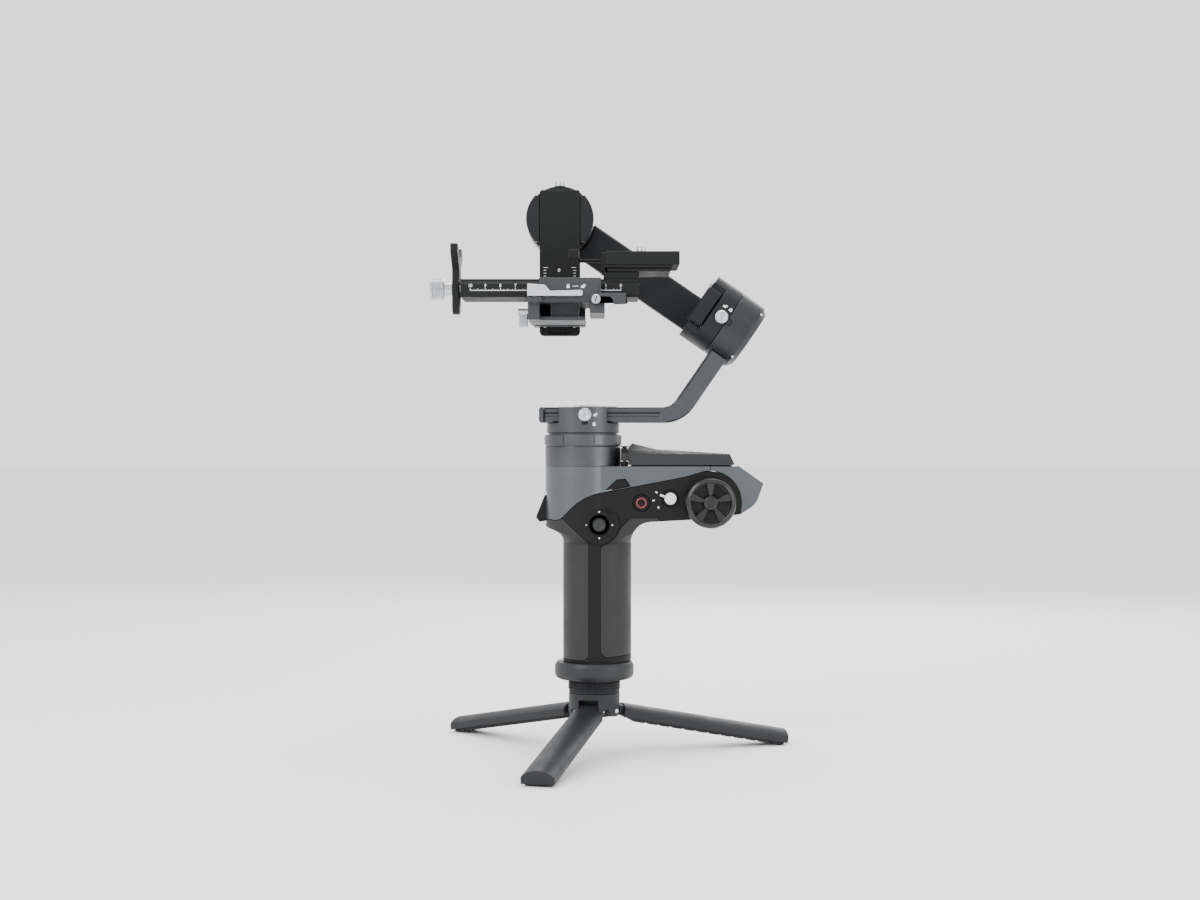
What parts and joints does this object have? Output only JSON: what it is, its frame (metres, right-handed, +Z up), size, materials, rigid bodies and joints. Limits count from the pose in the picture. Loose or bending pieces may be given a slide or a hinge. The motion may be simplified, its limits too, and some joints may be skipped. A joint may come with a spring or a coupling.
{
  "type": "gimbal stabilizer",
  "caption": "Handheld three-axis camera stabilizer with pan, roll and tilt motors, sliding balance plates, side controls, flip-out screen and folding tripod.",
  "frame": {"origin": "on the floor under the tripod hub's axis", "axes": "+X from the grip towards the tail with the control wheel, +Y away from the control panel, +Z up along the grip"},
  "size_m": [0.2449, 0.2381, 0.3933],
  "materials": {
    "black_anodised_aluminium": "fine bead-blasted anodised",
    "dark_plate_aluminium": "satin anodised",
    "grey_clamp_aluminium": "satin anodised",
    "camera_plate_aluminium": "satin anodised",
    "grey_painted_shell": "metallic grey paint",
    "black_panel": "moulded, fine texture",
    "grip_rubber": "fine leather-like texture",
    "black_moulding": "moulded",
    "tripod_alloy": "dark satin paint",
    "silver_metal": "satin turned",
    "shaft_steel": "ground",
    "coil_copper": "enamelled winding",
    "dial_paint": "gloss",
    "record_red": "gloss",
    "screen_front": "polished cover glass",
    "cell_wrap": "shrink wrap",
    "circuit_board": "solder mask"
  },
  "bodies": {
    "grip": {"tripod_hub": "tripod_alloy", "tripod_ring": "tripod_alloy", "tripod_fasteners": "silver_metal", "base_collar": "black_moulding", "grip_core": "black_moulding", "grip_front_pad": "grip_rubber", "grip_rear_pad": "grip_rubber", "battery_cells": "cell_wrap", "main_board": "circuit_board", "shell_near": "grey_painted_shell", "shell_far": "grey_painted_shell", "tail_cap": "grey_painted_shell", "control_panel": "black_panel", "far_panel": "black_panel", "screen_hinge": "black_panel", "pan_stator": "black_anodised_aluminium", "pan_coils": "coil_copper"},
    "leg_1": {"tripod_leg_1": "tripod_alloy", "leg_pad_1": "grip_rubber"},
    "leg_2": {"tripod_leg_2": "tripod_alloy", "leg_pad_2": "grip_rubber"},
    "leg_3": {"tripod_leg_3": "tripod_alloy", "leg_pad_3": "grip_rubber"},
    "joystick_ring": {"joystick_cradle": "black_panel"},
    "joystick": {"joystick_stick": "grip_rubber"},
    "power_key": {"power_button": "black_panel"},
    "record_key": {"record_button": "record_red"},
    "dial": {"mode_dial": "dial_paint"},
    "wheel": {"control_wheel": "black_moulding"},
    "trigger_key": {"trigger": "black_panel"},
    "screen": {"screen_case": "black_moulding", "screen_glass": "screen_front"},
    "pan_turret": {"pan_rotor": "black_anodised_aluminium", "pan_shaft": "shaft_steel"},
    "pan_lock_knob": {"pan_lock": "silver_metal"},
    "pan_clamp": {"pan_clamp_lever": "silver_metal"},
    "pan_beam": {"pan_arm": "black_anodised_aluminium", "roll_stator": "black_anodised_aluminium", "roll_coils": "coil_copper"},
    "roll_turret": {"roll_rotor": "black_anodised_aluminium", "roll_shaft": "shaft_steel"},
    "roll_lock_knob": {"roll_lock": "silver_metal"},
    "roll_clamp": {"roll_clamp_lever": "silver_metal"},
    "roll_beam": {"roll_arm": "black_anodised_aluminium", "tilt_stator": "black_anodised_aluminium", "tilt_coils": "coil_copper"},
    "tilt_turret": {"tilt_rotor": "black_anodised_aluminium", "tilt_shaft": "shaft_steel", "vertical_bar": "dark_plate_aluminium"},
    "tilt_lock_knob": {"tilt_lock": "silver_metal"},
    "base": {"clamp_base": "grey_clamp_aluminium"},
    "height_lock": {"height_lever": "silver_metal"},
    "plate_lock": {"qr_lever": "silver_metal"},
    "latch": {"safety_latch": "grey_clamp_aluminium"},
    "plate": {"slide_plate": "dark_plate_aluminium", "riser_plate": "dark_plate_aluminium"},
    "camera_mount": {"camera_plate": "camera_plate_aluminium"},
    "screw": {"camera_screw": "silver_metal"},
    "lens_support": {"lens_bracket": "camera_plate_aluminium"},
    "support_knob": {"lens_knob": "silver_metal"}
  },
  "joints": [
    {"name": "leg_1_fold", "type": "hinge", "parent": "grip", "child": "leg_1", "pos_m": [0.01205, 0.00334, 0.02801], "axis": [-0.2672, 0.9636, 0], "range_deg": [0, 78]},
    {"name": "leg_2_fold", "type": "hinge", "parent": "grip", "child": "leg_2", "pos_m": [-0.00892, 0.00876, 0.02801], "axis": [-0.7009, -0.7133, 0], "range_deg": [0, 78]},
    {"name": "leg_3_fold", "type": "hinge", "parent": "grip", "child": "leg_3", "pos_m": [-0.00313, -0.0121, 0.02801], "axis": [0.9681, -0.2504, 0], "range_deg": [0, 78]},
    {"name": "joystick_up_down", "type": "hinge", "parent": "grip", "child": "joystick_ring", "pos_m": [0.0033, -0.016, 0.15371], "axis": [1, 0, 0], "range_deg": [-10, 10], "stiffness_Nm_per_rad": 0.05},
    {"name": "joystick_left_right", "type": "hinge", "parent": "joystick_ring", "child": "joystick", "pos_m": [0.0033, -0.016, 0.15371], "axis": [0, 0, 1], "range_deg": [-10, 10], "stiffness_Nm_per_rad": 0.05},
    {"name": "power_press", "type": "slide", "parent": "grip", "child": "power_key", "axis": [0, 1, 0], "range_m": [0, 0.0008], "stiffness_N_per_m": 400},
    {"name": "record_press", "type": "slide", "parent": "grip", "child": "record_key", "axis": [0, 1, 0], "range_m": [0, 0.0008], "stiffness_N_per_m": 400},
    {"name": "dial_turn", "type": "hinge", "parent": "grip", "child": "dial", "pos_m": [0.0506, -0.022, 0.17111], "axis": [0, -1, 0], "range_deg": [0, 60]},
    {"name": "wheel_turn", "type": "hinge", "parent": "grip", "child": "wheel", "pos_m": [0.0769, -0.022, 0.16841], "axis": [0, -1, 0], "continuous": true},
    {"name": "trigger_pull", "type": "hinge", "parent": "grip", "child": "trigger_key", "pos_m": [-0.0288, 0, 0.17011], "axis": [0, -1, 0], "range_deg": [0, 5], "stiffness_Nm_per_rad": 0.6},
    {"name": "screen_swing", "type": "hinge", "parent": "grip", "child": "screen", "pos_m": [0.0202, -0.0168, 0.20051], "axis": [0, 0, -1], "range_deg": [0, 95]},
    {"name": "pan_turn", "type": "hinge", "parent": "grip", "child": "pan_turret", "pos_m": [-0.0076, 0, 0.21371], "axis": [0, 0, 1], "continuous": true},
    {"name": "pan_lock_slide", "type": "slide", "parent": "pan_turret", "child": "pan_lock_knob", "axis": [0, 0, -1], "range_m": [0, 0.0045]},
    {"name": "pan_clamp_turn", "type": "hinge", "parent": "pan_turret", "child": "pan_clamp", "pos_m": [-0.0116, 0.0184, 0.23201], "axis": [0, 0, 1], "range_deg": [0, 80]},
    {"name": "pan_arm_slide", "type": "slide", "parent": "pan_turret", "child": "pan_beam", "axis": [1, 0, 0], "range_m": [-0.028, 0.009]},
    {"name": "roll_turn", "type": "hinge", "parent": "pan_beam", "child": "roll_turret", "pos_m": [0.07846, 0, 0.29561], "axis": [0.8241, 0, -0.5664], "range_deg": [-60, 60]},
    {"name": "roll_lock_slide", "type": "slide", "parent": "roll_turret", "child": "roll_lock_knob", "axis": [0.8241, 0, -0.5664], "range_m": [0, 0.0022]},
    {"name": "roll_clamp_turn", "type": "hinge", "parent": "roll_turret", "child": "roll_clamp", "pos_m": [0.08051, 0.003, 0.31519], "axis": [-0.8241, 0, 0.5664], "range_deg": [0, 80]},
    {"name": "roll_arm_slide", "type": "slide", "parent": "roll_turret", "child": "roll_beam", "axis": [0, 1, 0], "range_m": [-0.02, 0.0015]},
    {"name": "tilt_turn", "type": "hinge", "parent": "roll_beam", "child": "tilt_turret", "pos_m": [-0.02439, 0.06, 0.36629], "axis": [0, -1, 0], "range_deg": [-170, 170]},
    {"name": "tilt_lock_slide", "type": "slide", "parent": "tilt_turret", "child": "tilt_lock_knob", "axis": [0, 1, 0], "range_m": [0, 0.0045]},
    {"name": "height_slide", "type": "slide", "parent": "tilt_turret", "child": "base", "axis": [0, 0, 1], "range_m": [0, 0.03]},
    {"name": "height_lock_turn", "type": "hinge", "parent": "base", "child": "height_lock", "pos_m": [-0.04749, 0.04, 0.30044], "axis": [1, 0, 0], "range_deg": [0, 100]},
    {"name": "plate_lock_turn", "type": "hinge", "parent": "base", "child": "plate_lock", "pos_m": [-0.03899, -0.0286, 0.30464], "axis": [0, 0, -1], "range_deg": [0, 100]},
    {"name": "latch_press", "type": "hinge", "parent": "base", "child": "latch", "pos_m": [0.00121, -0.028, 0.30294], "axis": [0, 1, 0], "range_deg": [0, 12], "stiffness_Nm_per_rad": 0.06},
    {"name": "plate_slide", "type": "slide", "parent": "base", "child": "plate", "axis": [1, 0, 0], "range_m": [-0.012, 0.03]},
    {"name": "camera_plate_slide", "type": "slide", "parent": "plate", "child": "camera_mount", "axis": [1, 0, 0], "range_m": [-0.008, 0]},
    {"name": "camera_screw_turn", "type": "hinge", "parent": "camera_mount", "child": "screw", "pos_m": [0.03181, 0, 0.32849], "axis": [0, 0, 1], "continuous": true},
    {"name": "bracket_slide", "type": "slide", "parent": "plate", "child": "lens_support", "axis": [0, 0, 1], "range_m": [-0.008, 0.008]},
    {"name": "knob_turn", "type": "hinge", "parent": "plate", "child": "support_knob", "pos_m": [-0.10069, 0, 0.31209], "axis": [1, 0, 0], "continuous": true}
  ]
}
